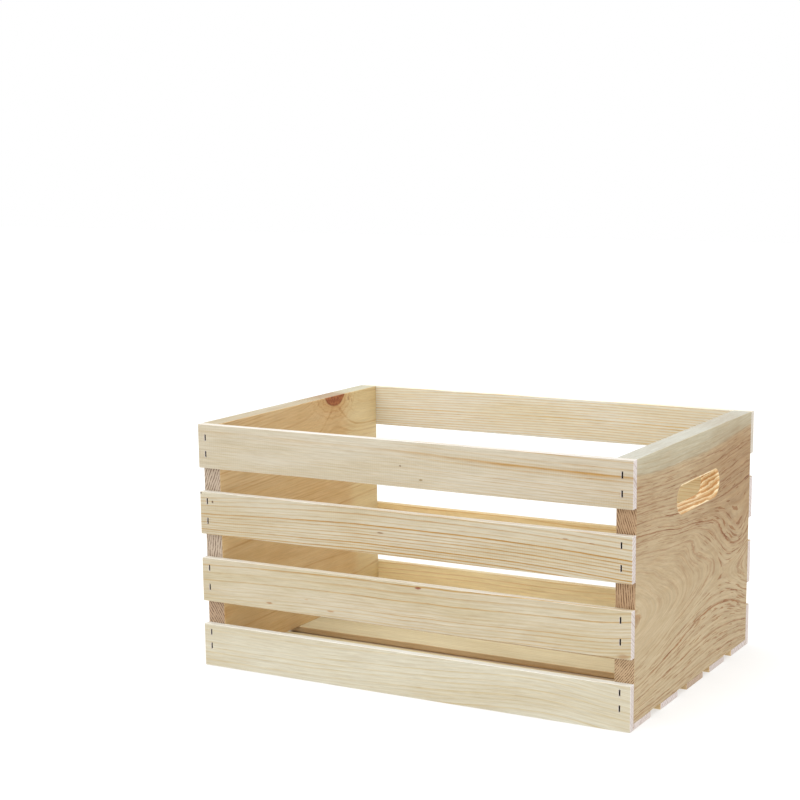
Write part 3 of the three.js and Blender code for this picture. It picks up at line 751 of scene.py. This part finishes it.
# Each board's gain below is painted light and shade. The front slats are dimmed against the light on them. The back
# slats and the left end board are brightened against the shade inside the crate.
FINISH = {}
SLAT_LOOK = dict(end_base=lin(222, 212, 207), end_line=(0.70, 0.62, 0.58), top_tint=(1.36, 1.45, 1.72), edge_tint=(1.32, 1.36, 1.48), edge_gain=1.0, streaks=0.045)
FINISH["front_slat_top"] = slat_finish("front_slat_top", 1, lin(222, 211, 187), lin(200, 155, 84), lin(215, 201, 172), line_amp=(0.9, 0.45), chatter=0.10, line_gain=1.3,
    gain=(0.72, 0.735, 0.765), **SLAT_LOOK,
    specks=[(-1.5, 220.7, 1.2, 0.8, .85, lin(92, 62, 40)), (20, 209.2, 2.2, 1.0, .8, lin(128, 104, 62))])
FINISH["front_slat_upper"] = slat_finish("front_slat_upper", 2, lin(220, 207, 178), lin(190, 140, 62), lin(214, 198, 164), line_amp=(0.45, 0.42), fade=0.3, line_gain=1.5,
    gain=(0.735, 0.765, 0.82), chatter=0.08, **SLAT_LOOK,
    specks=[(-214, 167.6, 1.3, 1.5, .9, lin(84, 58, 42)), (-24, 155.5, 4.0, 0.8, .8, lin(120, 84, 52)), (-227.5, 175.6, 1.2, 1.0, .9, lin(70, 50, 38)),
            (165, 169.0, 3.5, 0.6, .7, lin(136, 96, 60)), (190, 167.3, 3.0, 0.6, .7, lin(136, 96, 60))])
FINISH["front_slat_lower"] = slat_finish("front_slat_lower", 3, lin(221, 208, 181), lin(194, 148, 70), lin(214, 199, 166), line_amp=(0.5, 0.45), fade=0.35, line_gain=1.3,
    gain=(0.73, 0.75, 0.775), mottle=0.7, **SLAT_LOOK,
    specks=[(16, 107.2, 3.8, 1.5, .9, lin(126, 66, 44)), (-150, 73, 4.0, 1.1, .75, lin(150, 104, 62)), (-80, 73, 4.5, 1.0, .7, lin(166, 124, 80)),
            (-107, 81.5, 2.5, 0.8, .4, lin(176, 136, 92)), (221, 68.5, 6.0, 3.2, .45, lin(150, 112, 76))])
FINISH["front_slat_bottom"] = slat_finish("front_slat_bottom", 4, lin(226, 217, 194), lin(208, 174, 104), lin(219, 207, 180), line_amp=(0.7, 0.5), fade=0.5, line_gain=1.15,
    gain=(0.74, 0.765, 0.79), **SLAT_LOOK)
FINISH["back_slat_top"] = slat_finish("back_slat_top", 5, lin(230, 219, 196), lin(212, 170, 92), lin(224, 209, 178), line_amp=(0.6, 0.4), fade=0.3, gain=(0.99, 1.07, 1.19), line_gain=1.25, streaks=0.035)
for i, (n, e, t) in enumerate([("back_slat_upper", (224, 208, 174), (214, 194, 156)), ("back_slat_lower", (224, 206, 170), (218, 198, 158)),
                               ("back_slat_bottom", (225, 213, 184), (218, 202, 168))]):
    lo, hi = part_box(n)
    FINISH[n] = slat_finish(n, 10 + i, lin(*e), lin(194, 148, 92), lin(*t), fill=(lo.z / MM, hi.z / MM, 3.6 + 0.9 * i, .6, .95), line_amp=(1.4, 0.35), gain=(1.33, 1.30, 1.15), outer=((0, 1, 0), (0.70, 0.72, 0.80)), tone_colour=(0.76, 0.76, 0.78), streaks=0.03, top_tint=(0.80, 0.80, 0.80), edge_tint=(1, 1, 1),
                            end_base=lin(222, 211, 205), end_line=(0.70, 0.62, 0.58))
for i, n in enumerate(["floor_slat_front", "floor_slat_front_middle", "floor_slat_middle", "floor_slat_back_middle", "floor_slat_back"]):
    lo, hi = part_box(n)
    e = [(221, 203, 166), (217, 198, 158), (222, 206, 172), (219, 202, 166), (223, 206, 172)][i]
    FINISH[n] = slat_finish(n, 20 + i, lin(*e), lin(190, 146, 92), lin(*[c - 8 for c in e]), fill=(lo.y / MM, hi.y / MM, [4.2, 3.4, 4.6, 3.8, 5.0][i], .4, .95),
                            line_amp=(1.6, 0.4), mottle=0.6, gain=(0.96, 1.04, 1.07), side_tint=(1.12, 0.97, 0.86), top_tint=(1.0, 1.0, 1.0), edge_tint=(1.15, 1.15, 1.15), streaks=0.04,
                            tone_colour=(0.86, 0.82, 0.78),
                            end_base=[lin(224, 212, 206), lin(226, 214, 210), lin(196, 172, 150), lin(220, 208, 202), lin(222, 210, 204)][i], end_line=(0.62, 0.55, 0.52), end_contrast=2.2)
right_rings = ([(13, .5, .7), (30, .75, .55), (48, .85, .6), (66, 1.0, .95), (80, .95, .9), (60, .55, .8)]
               + [(5, .35, .8), (21.5, .3, .5), (38.5, .3, .45), (43.5, .22, .45), (54, .3, .5), (72.5, .45, 1.0), (76.0, .38, .8), (63, .3, .6), (69.4, .3, .6)]
               + [(v, .40 + .16 * ((k * 7) % 3), .75) for k, v in enumerate((83.4, 86.2, 89.4, 92.4, 95.4, 98.6, 101.8, 105.0, 108.4, 111.6, 115.0, 118.4))]
               + [(122.6, .4, .8), (127.5, .22, .7), (132, .26, .7), (136.6, .2, .7), (141, .24, .7)]
               + filler_rings(404, -70.0, 2.0, 4.2, .6, .8))
FINISH["end_panel_right"] = wood("panel_right", right_rings, (-72.0, 150.0), lin(197, 187, 160), lin(168, 134, 84), None, seed=31, line_amp=(1.3, 1.25), fade=0.45,
    heart=(120.5, 123.5), heart_colours=(lin(202, 181, 145), lin(156, 103, 50)), dash=0.9, dash_cover=(0.61, 0.66), dash_colour=(0.64, 0.43, 0.28), dash_length=20.0, end_period=2.2,
    end_lean=(0.35, 0.08, -0.75), mottle=0.8, fibre=1.3, streaks=0.055, end_base=lin(179, 148, 115), end_low=(1.15, 1.23, 1.27), end_contrast=1.4, end_line=(0.33, 0.26, 0.21), smudge=0.2, line_gain=1.15, gain=(0.92, 0.94, 0.96),
    top_tint=(0.98, 1.06, 1.28), rim=242.0, edge_tint=(1.22, 1.22, 1.22), edge_gain=0.8,
    bore=(lin(226, 193, 144), lin(200, 152, 98), lin(247, 230, 192)))
left_rings = filler_rings(77, -110, 160, 3.6, .42, .75) + filler_rings(78, 160, 285, 2.5, .5, .55)
FINISH["end_panel_left"] = wood("panel_left", left_rings, (-112.0, 288.0), lin(220, 194, 148), lin(184, 134, 76), lin(215, 186, 136), seed=32, line_amp=(1.5, 0.7), fade=0.6,
    knots=[(63.5, 247.5, 21.5, 15.0, 1.0, lin(168, 104, 68))], specks=[(91, 238, 1.1, 3.2, .7, lin(148, 84, 58)), (98, 235, 0.9, 2.6, .5, lin(164, 106, 76))],
    dash=0.35, mottle=0.6, end_base=lin(192, 174, 154), end_low=(0.86, 0.75, 0.65), end_contrast=1.4, end_line=(0.36, 0.31, 0.29), end_lean=(0.45, 0.10, -0.60), outer=((-1, 0, 0), (0.82, 0.77, 0.72)), top_tint=(0.67, 0.80, 1.06), rim=242.0, streaks=0.02, dash_length=18.0, end_period=2.8, edge_tint=(1.24, 1.24, 1.24), edge_gain=0.8,
    tone_colour=(0.91, 0.80, 0.72), gain=(1.14, 1.27, 1.42), bore=(lin(226, 193, 144), lin(200, 152, 98), lin(247, 230, 192)))
STEEL = steel("staple_steel")
ROOT = "root" if "root" in frame["bodies"] else sorted(frame["bodies"])[0]

# ------------------------------------------------------------------- staples
LEG = 22.0


def staple_axes(name):
    """Crown centre at the surface, crown direction, direction into the wood, sideways."""
    lo, hi = [np.array(v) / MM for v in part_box(name)]
    mid = (lo + hi) / 2
    if "_floor_" in name:
        into, crown = np.array((0, 0, 1.0)), np.array((0, 1.0, 0))
        top = np.array((mid[0], mid[1], lo[2]))
    elif "_front_" in name:
        into, crown = np.array((0, 1.0, 0)), np.array((0, 0, 1.0))
        top = np.array((mid[0], lo[1], mid[2]))
    else:
        into, crown = np.array((0, -1.0, 0)), np.array((0, 0, 1.0))
        top = np.array((mid[0], hi[1], mid[2]))
    return top, crown, into, np.cross(crown, into)


WIRE_W, WIRE_T, CROWN = 1.22, 1.02, 5.96


def staple_mesh(name, seed):
    top, crown, into, side = staple_axes(name)
    lo, hi = [np.array(v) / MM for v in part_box(name)]
    leg = float(abs((hi - lo) @ into)) - 0.02
    rnd = np.random.RandomState(seed)
    rc = 0.34 + WIRE_T / 2
    u0 = CROWN / 2 - WIRE_T / 2
    path = []
    for k in range(5):
        path.append((-u0, leg - (leg - rc - WIRE_T / 2) * k / 4.0))
    for k in range(1, 7):
        t = math.radians(90.0 * k / 6)
        path.append((-u0 + rc - rc * math.cos(t), WIRE_T / 2 + rc - rc * math.sin(t)))
    for k in range(1, 6):
        path.append((-u0 + rc + (2 * u0 - 2 * rc) * k / 6.0, WIRE_T / 2))
    half = path[:]
    for k in range(6, 0, -1):
        t = math.radians(90.0 * k / 6)
        path.append((u0 - rc + rc * math.cos(t), WIRE_T / 2 + rc - rc * math.sin(t)))
    for k in range(4, -1, -1):
        path.append((u0, leg - (leg - rc - WIRE_T / 2) * k / 4.0))
    path = np.array(path)
    tang = np.gradient(path, axis=0)
    tang /= np.linalg.norm(tang, axis=1)[:, None]
    normal = np.stack([-tang[:, 1], tang[:, 0]], -1)
    section = []
    cr = 0.30
    for cx, cy, a0 in ((1, 1, 0), (-1, 1, 90), (-1, -1, 180), (1, -1, 270)):
        for k in range(4):
            t = math.radians(a0 + 30.0 * k)
            section.append((cx * (WIRE_T / 2 - cr) + cr * math.cos(t), cy * (WIRE_W / 2 - cr) + cr * math.sin(t)))
    verts, faces = [], []
    m = len(section)
    dip = rnd.uniform(0.0, 0.07)
    for i, (p, nn) in enumerate(zip(path, normal)):
        sag = dip * max(0.0, 1 - (p[0] / (CROWN * 0.42)) ** 2) if p[1] < 2 else 0.0
        for q, w in section:
            uv = p + nn * q
            verts.append(top + crown * uv[0] + into * (uv[1] + sag) + side * w)
    n = len(path)
    for i in range(n - 1):
        for j in range(m):
            j2 = (j + 1) % m
            faces.append((i * m + j, i * m + j2, (i + 1) * m + j2, (i + 1) * m + j))
    # chisel points: the two end rings are closed by a slanted wedge
    for ring, flip in ((0, False), (n - 1, True)):
        ids = [ring * m + j for j in range(m)]
        for j, vi in enumerate(ids):
            q, w = section[j]
            verts[vi] = verts[vi] - into * (0.9 * (w / WIRE_W + 0.5)) * (1 if seed % 2 else 1)
        faces.append(tuple(ids if flip else reversed(ids)))
    return new_object(name.replace("staple_", "wire_staple_"), verts, faces)


def loft(rings):
    """Closed solid through equal-length outlines."""
    m = len(rings[0])
    verts = [p for ring in rings for p in ring]
    faces = []
    for i in range(len(rings) - 1):
        for j in range(m):
            j2 = (j + 1) % m
            faces.append((i * m + j, i * m + j2, (i + 1) * m + j2, (i + 1) * m + j))
    faces.append(tuple(reversed(range(m))))
    faces.append(tuple(range((len(rings) - 1) * m, len(rings) * m)))
    return verts, faces


def outline(a, b, r, k=4):
    """Rounded rectangle a by b, corner radius r, counter-clockwise."""
    pts = []
    for cx, cy, a0 in ((1, 1, 0), (-1, 1, 90), (-1, -1, 180), (1, -1, 270)):
        for j in range(k + 1):
            t = math.radians(a0 + 90.0 * j / k)
            pts.append((cx * (a / 2 - r) + r * math.cos(t), cy * (b / 2 - r) + r * math.sin(t)))
    return pts


def join_shapes(shapes):
    verts, faces = [], []
    for v, f in shapes:
        base = len(verts)
        verts += list(v)
        faces += [tuple(i + base for i in face) for face in f]
    return verts, faces


def outward(verts, faces):
    """The same solid with every face turned outwards."""
    bm = bmesh.new()
    vs = [bm.verts.new(v) for v in verts]
    for f in faces:
        bm.faces.new([vs[i] for i in f])
    bmesh.ops.recalc_face_normals(bm, faces=bm.faces)
    bm.verts.index_update()
    out_v = [tuple(v.co) for v in bm.verts]
    out_f = [tuple(v.index for v in f.verts) for f in bm.faces]
    bm.free()
    return out_v, out_f


SINK = 0.35


def crown_pocket(name, seed):
    """Dent that a staple crown leaves: crushed, flared mouth, then straight sides."""
    top, crown, into, side = staple_axes(name)
    rnd = np.random.RandomState(seed + 500)
    levels = [(-SINK - 0.4, 7.5, 2.6, 1.0), (-SINK, 6.95, 2.05, 0.8), (-SINK + 0.22, 6.5, 1.62, 0.55), (-SINK + 0.5, 6.26, 1.46, 0.42), (WIRE_T + 0.14, 6.22, 1.42, 0.4)]
    rings = []
    ph = rnd.uniform(0, 6, 3)
    for depth, a, b, r in levels:
        ring = []
        for j, (p, q) in enumerate(outline(a, b, r)):
            k = 1 + 0.035 * math.sin(j * 1.3 + ph[0]) + 0.03 * math.sin(j * 2.9 + ph[1]) if depth < 0.1 else 1.0
            ring.append(top + crown * p * k + side * q * k + into * depth)
        rings.append(ring)
    return outward(*loft(rings))


def leg_holes(name):
    top, crown, into, side = staple_axes(name)
    lo, hi = [np.array(v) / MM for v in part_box(name)]
    leg = float(abs((hi - lo) @ into))
    out = []
    for s in (-1, 1):
        rings = []
        for depth in (0.55, leg + 0.25):
            rings.append([top + crown * (s * (CROWN / 2 - WIRE_T / 2) + p) + side * q + into * depth for p, q in outline(WIRE_T + 0.26, WIRE_W + 0.26, 0.3, 2)])
        out.append(outward(*loft(rings)))
    return out


all_staples = sorted(n for n in frame["nodes"] if n.startswith("staple_"))


def staples_of(board):
    """Staples that go through a slat, from their shared name."""
    key = board.replace("_slat", "")
    return [n for n in all_staples if n.startswith("staple_" + key + "_left") or n.startswith("staple_" + key + "_right")]


def mark_and_finish(obj, name, lo, hi, radius, coords, field, material, distort=None, power=None, tone=None, dashes=None, shear=0.0):
    """Attributes, tiny irregularities, smooth normals, material, place in the frame."""
    co = co_mm(obj)
    co[:, 1] += shear * co[:, 0]         # square the board up while its attributes are worked out
    w = np.stack(coords(co), -1)
    set_vector(obj, "wood", w)
    set_float(obj, "ring", field(w[:, 0], w[:, 1], w[:, 2]))
    set_float(obj, "power", smooth_interp(power, w[:, 0]) if power else np.ones(len(w)))
    set_float(obj, "tone", np.zeros(len(w)) if tone is None else np.clip(tone(w[:, 0], w[:, 1]), 0, 1.2))
    set_float(obj, "dashes", np.full(len(w), 0.25) if dashes is None else np.clip(dashes(w[:, 0], w[:, 1], w[:, 2]), 0, 1.2))
    near = np.sort(np.minimum(np.abs(co - lo), np.abs(hi - co)), axis=1)
    set_float(obj, "edge", np.clip(1.4 * (1 - near[:, 1] / radius), 0, 1))
    if distort is not None:
        out = distort(co)
        out[:, 1] -= shear * co[:, 0]
        obj.data.vertices.foreach_set("co", (out * MM).astype(np.float32).ravel())
    mesh = obj.data
    for p in mesh.polygons:
        p.use_smooth = True
    mesh.set_sharp_from_angle(angle=math.radians(38))
    wn = obj.modifiers.new("normals", "WEIGHTED_NORMAL")
    wn.keep_sharp = True
    wn.weight = 50
    wn.mode = "FACE_AREA"
    apply_modifier(obj, wn)
    mesh.materials.clear()
    mesh.materials.append(material)
    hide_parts(name)
    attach(obj, ROOT)


def edge_play(lo, hi, across, seed, amount, top=None, bottom=None):
    """Edges that wander inwards a few tenths, as sawn edges do."""
    mid, half = (lo[across] + hi[across]) / 2, (hi[across] - lo[across]) / 2

    def distort(co):
        out = co.copy()
        s = co[:, 0]
        t = (co[:, across] - mid) / half
        up = (0.5 + 0.5 * wobble(seed, s, 120.0) + 0.15 * wobble(seed + 3, s, 22.0)) * amount
        dn = (0.5 + 0.5 * wobble(seed + 1, s, 140.0) + 0.15 * wobble(seed + 4, s, 25.0)) * amount
        up = np.clip(up, 0, None)
        dn = np.clip(dn, 0, None)
        if top is not None:
            up = up + np.clip(smooth_interp(top, s), 0, None)
        if bottom is not None:
            dn = dn + np.clip(smooth_interp(bottom, s), 0, None)
        out[:, across] -= np.clip(t, 0, 1) ** 3 * up
        out[:, across] += np.clip(-t, 0, 1) ** 3 * dn
        return out
    return distort


SKEW = {"floor_slat_front_middle": 5.6, "floor_slat_middle": 2.6}     # left end further back than the right, in mm


def build_slat(name, across, face_sign, radius, seed, steps, lean, top=None, bottom=None, amount=0.22):
    """One slat along X. across: axis of its width; face_sign: which side of the other axis is its show face."""
    lo, hi = [np.array(v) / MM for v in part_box(name)]
    into = 3 - across
    shear = SKEW.get(name, 0.0) / (hi[0] - lo[0])
    lo[1] += SKEW.get(name, 0.0) / 2
    hi[1] -= SKEW.get(name, 0.0) / 2
    v, f, _ = rounded_box(lo, hi, radius, steps)
    v[:, 1] -= shear * v[:, 0]
    obj = new_object("board_" + name, v, f)
    mine = staples_of(name)
    if mine:
        legs = [s for n in mine for s in leg_holes(n)]
        cutter = new_object("cut", *join_shapes(legs))
        cut(obj, cutter)
        cutter = new_object("cut", *join_shapes([crown_pocket(n, 7 * i + seed) for i, n in enumerate(mine)]))
        cut(obj, cutter)

    def coords(co):
        b = (co[:, into] - lo[into]) if face_sign < 0 else (hi[into] - co[:, into])
        return co[:, 0], co[:, across], b
    field = slat_field(name, lean, seed, (lo[across] + hi[across]) / 2, (hi[across] - lo[across]) / 2)
    mark_and_finish(obj, name, lo, hi, radius, coords, field, FINISH[name], edge_play(lo, hi, across, seed, amount, top, bottom),
                    SLAT_GRAIN.get(name, {}).get("strong"), SLAT_TONE.get(name), shear=shear)
    return obj


SIDE_STEPS = (6.0, 3.0, 4.0)
build_slat("front_slat_top", 2, -1, 0.45, 1, SIDE_STEPS, 0.9, amount=0.15, bottom=[(-229, 0.0), (-170, 0.2), (-100, 0.5), (-30, 0.3), (30, 0.1), (229, 0.0)])
build_slat("front_slat_upper", 2, -1, 0.45, 2, SIDE_STEPS, -0.7)
build_slat("front_slat_lower", 2, -1, 0.45, 3, SIDE_STEPS, 0.8)
build_slat("front_slat_bottom", 2, -1, 0.5, 4, SIDE_STEPS, 1.1)
for i, n in enumerate(["back_slat_top", "back_slat_upper", "back_slat_lower", "back_slat_bottom"]):
    build_slat(n, 2, -1, 0.6, 50 + i, SIDE_STEPS, (-0.8, 0.7, 1.0, -0.6)[i])
for i, n in enumerate(["floor_slat_front", "floor_slat_front_middle", "floor_slat_middle", "floor_slat_back_middle", "floor_slat_back"]):
    build_slat(n, 1, 1, 1.0, 60 + i, (6.0, 4.0, 3.0), (0.9, -0.7, 0.8, 1.1, -0.9)[i], amount=0.15)

# ----------------------------------------------------------------- end panels
SLOT_LENGTH, SLOT_HEIGHT, SLOT_Y, SLOT_Z, SLOT_ROUND = 109.0, 23.6, 3.0, 188.7, 3.0


def slot_cutter(lo, hi):
    """Through slot with round-over at both faces."""
    x0, x1 = lo[0], hi[0]
    prof = [(x0 - 0.6, SLOT_ROUND * 0.92 + 1.2)]
    for k in range(8):
        t = math.radians(84.0 * (1 - k / 7.0))
        prof.append((x0 + SLOT_ROUND * (1 - math.sin(t)), SLOT_ROUND * (1 - math.cos(t))))
    back = [(x0 + x1 - x, o) for x, o in reversed(prof)]
    rings = []
    for x, o in prof + back:
        r = SLOT_HEIGHT / 2 + o
        ring = []
        for side_, a0 in ((1, -90), (-1, 90)):
            for j in range(25):
                t = math.radians(a0 + 180.0 * j / 24)
                ring.append((x, SLOT_Y + side_ * (SLOT_LENGTH - SLOT_HEIGHT) / 2 + r * math.cos(t), SLOT_Z + r * math.sin(t)))
        rings.append(ring)
    return outward(*loft(rings))


def build_panel(name, outer_sign, field, seed):
    lo, hi = [np.array(v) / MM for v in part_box(name)]
    v, f, _ = rounded_box(lo, hi, 0.8, (4.5, 4.0, 4.0))
    obj = new_object("board_" + name, v, f)
    side = "left" if "left" in name else "right"
    mine = [n for n in all_staples if n.endswith("_" + side) or ("_" + side + "_") in n]
    legs = [s for n in mine for s in leg_holes(n)]
    cut(obj, new_object("cut", *join_shapes(legs)))
    cut(obj, new_object("cut", *slot_cutter(lo, hi)))

    def coords(co):
        b = (hi[0] - co[:, 0]) if outer_sign > 0 else (co[:, 0] - lo[0])
        return co[:, 1], co[:, 2], b
    co = co_mm(obj)
    off = np.hypot(np.maximum(np.abs(co[:, 1] - SLOT_Y) - (SLOT_LENGTH - SLOT_HEIGHT) / 2, 0), co[:, 2] - SLOT_Z) - SLOT_HEIGHT / 2
    depth = np.minimum(co[:, 0] - lo[0], hi[0] - co[:, 0])
    set_float(obj, "bore", np.where((off < SLOT_ROUND) & (depth > 0.1), 1.0, 0.0))
    mark_and_finish(obj, name, lo, hi, 0.8, coords, field, FINISH[name], tone=right_tone if outer_sign > 0 else left_tone,
                    dashes=panel_right_dashes if outer_sign > 0 else None)
    return obj


build_panel("end_panel_right", 1, panel_right_field, 71)
build_panel("end_panel_left", -1, panel_left_field, 72)

for i, n in enumerate(all_staples):
    s = staple_mesh(n, i)
    for p in s.data.polygons:
        p.use_smooth = True
    s.data.set_sharp_from_angle(angle=math.radians(45))
    s.data.materials.append(STEEL)
    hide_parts(n)
    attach(s, ROOT)

# --------------------------------------------------------------- floor, light
bm = bmesh.new()
bmesh.ops.create_grid(bm, x_segments=24, y_segments=24, size=7.0)
mesh = bpy.data.meshes.new("studio_floor")
bm.to_mesh(mesh)
bm.free()
floor = bpy.data.objects.new("studio_floor", mesh)
bpy.context.scene.collection.objects.link(floor)
floor.location = (0, 0, -0.0002)
fg = Graph("studio_floor")
fpos = fg.node("ShaderNodeTexCoord").outputs["Object"]
fn = fg.noise(fpos, (3, 3, 3), 4.0, 0.55)
fb = fg.node("ShaderNodeBsdfPrincipled")
fsep = fg.node("ShaderNodeSeparateXYZ")
fg.put(fsep.inputs[0], fpos)
# Painted shadow under the crate: in its footprint the floor turns brown and stops glowing.
under = fg.math("MULTIPLY", fg.step(fsep.outputs[0], 0.222, 0.205), fg.step(fg.math("ABSOLUTE", fsep.outputs[1]), 0.150, 0.135))
under = fg.math("MULTIPLY", under, fg.step(fsep.outputs[0], -0.228, -0.218))
fcol = fg.mix(fg.step(fn, 0.3, 0.7), (0.42, 0.42, 0.415), (0.45, 0.448, 0.442))
# The brown floor colour in the crate's footprint is painted shadow.
fg.put(fb.inputs["Base Color"], fg.mix(under, fcol, (0.40, 0.30, 0.20)))
fb.inputs["Emission Color"].default_value = (1.0, 0.995, 0.985, 1.0)     # translucent table lit from below
fg.put(fb.inputs["Emission Strength"], fg.math("MULTIPLY", fg.math("SUBTRACT", 1.0, under), 0.55))     # unlit where the crate stands
fb.inputs["Roughness"].default_value = 0.85
fb.inputs["Specular IOR Level"].default_value = 0.1
fo = fg.node("ShaderNodeOutputMaterial")
fg.put(fo.inputs["Surface"], fb.outputs[0])
mesh.materials.append(fg.mat)
floor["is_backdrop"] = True

world = bpy.data.worlds.new("studio")
bpy.context.scene.world = world
world.use_nodes = True
world.node_tree.nodes["Background"].inputs["Color"].default_value = (1, 1, 1, 1)
world.node_tree.nodes["Background"].inputs["Strength"].default_value = 1.0


def sun_light(name, towards, angle, strength):
    data = bpy.data.lights.new(name, "SUN")
    data.energy = strength
    data.angle = math.radians(angle)
    obj = bpy.data.objects.new(name, data)
    bpy.context.scene.collection.objects.link(obj)
    obj.location = Vector(towards) * 3
    obj.rotation_euler = (-Vector(towards)).to_track_quat("-Z", "Y").to_euler()
    return obj


sun_light("overhead_softbox", (-0.12, -0.20, 0.97), 60.0, 0.45 * math.pi)
sun_light("front_softbox", (-0.22, -0.90, 0.38), 50.0, 0.18 * math.pi)

view = bpy.context.scene.view_settings
view.view_transform = "Standard"
view.look = "None"
view.exposure = 0.0
view.gamma = 1.0

lo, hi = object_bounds()
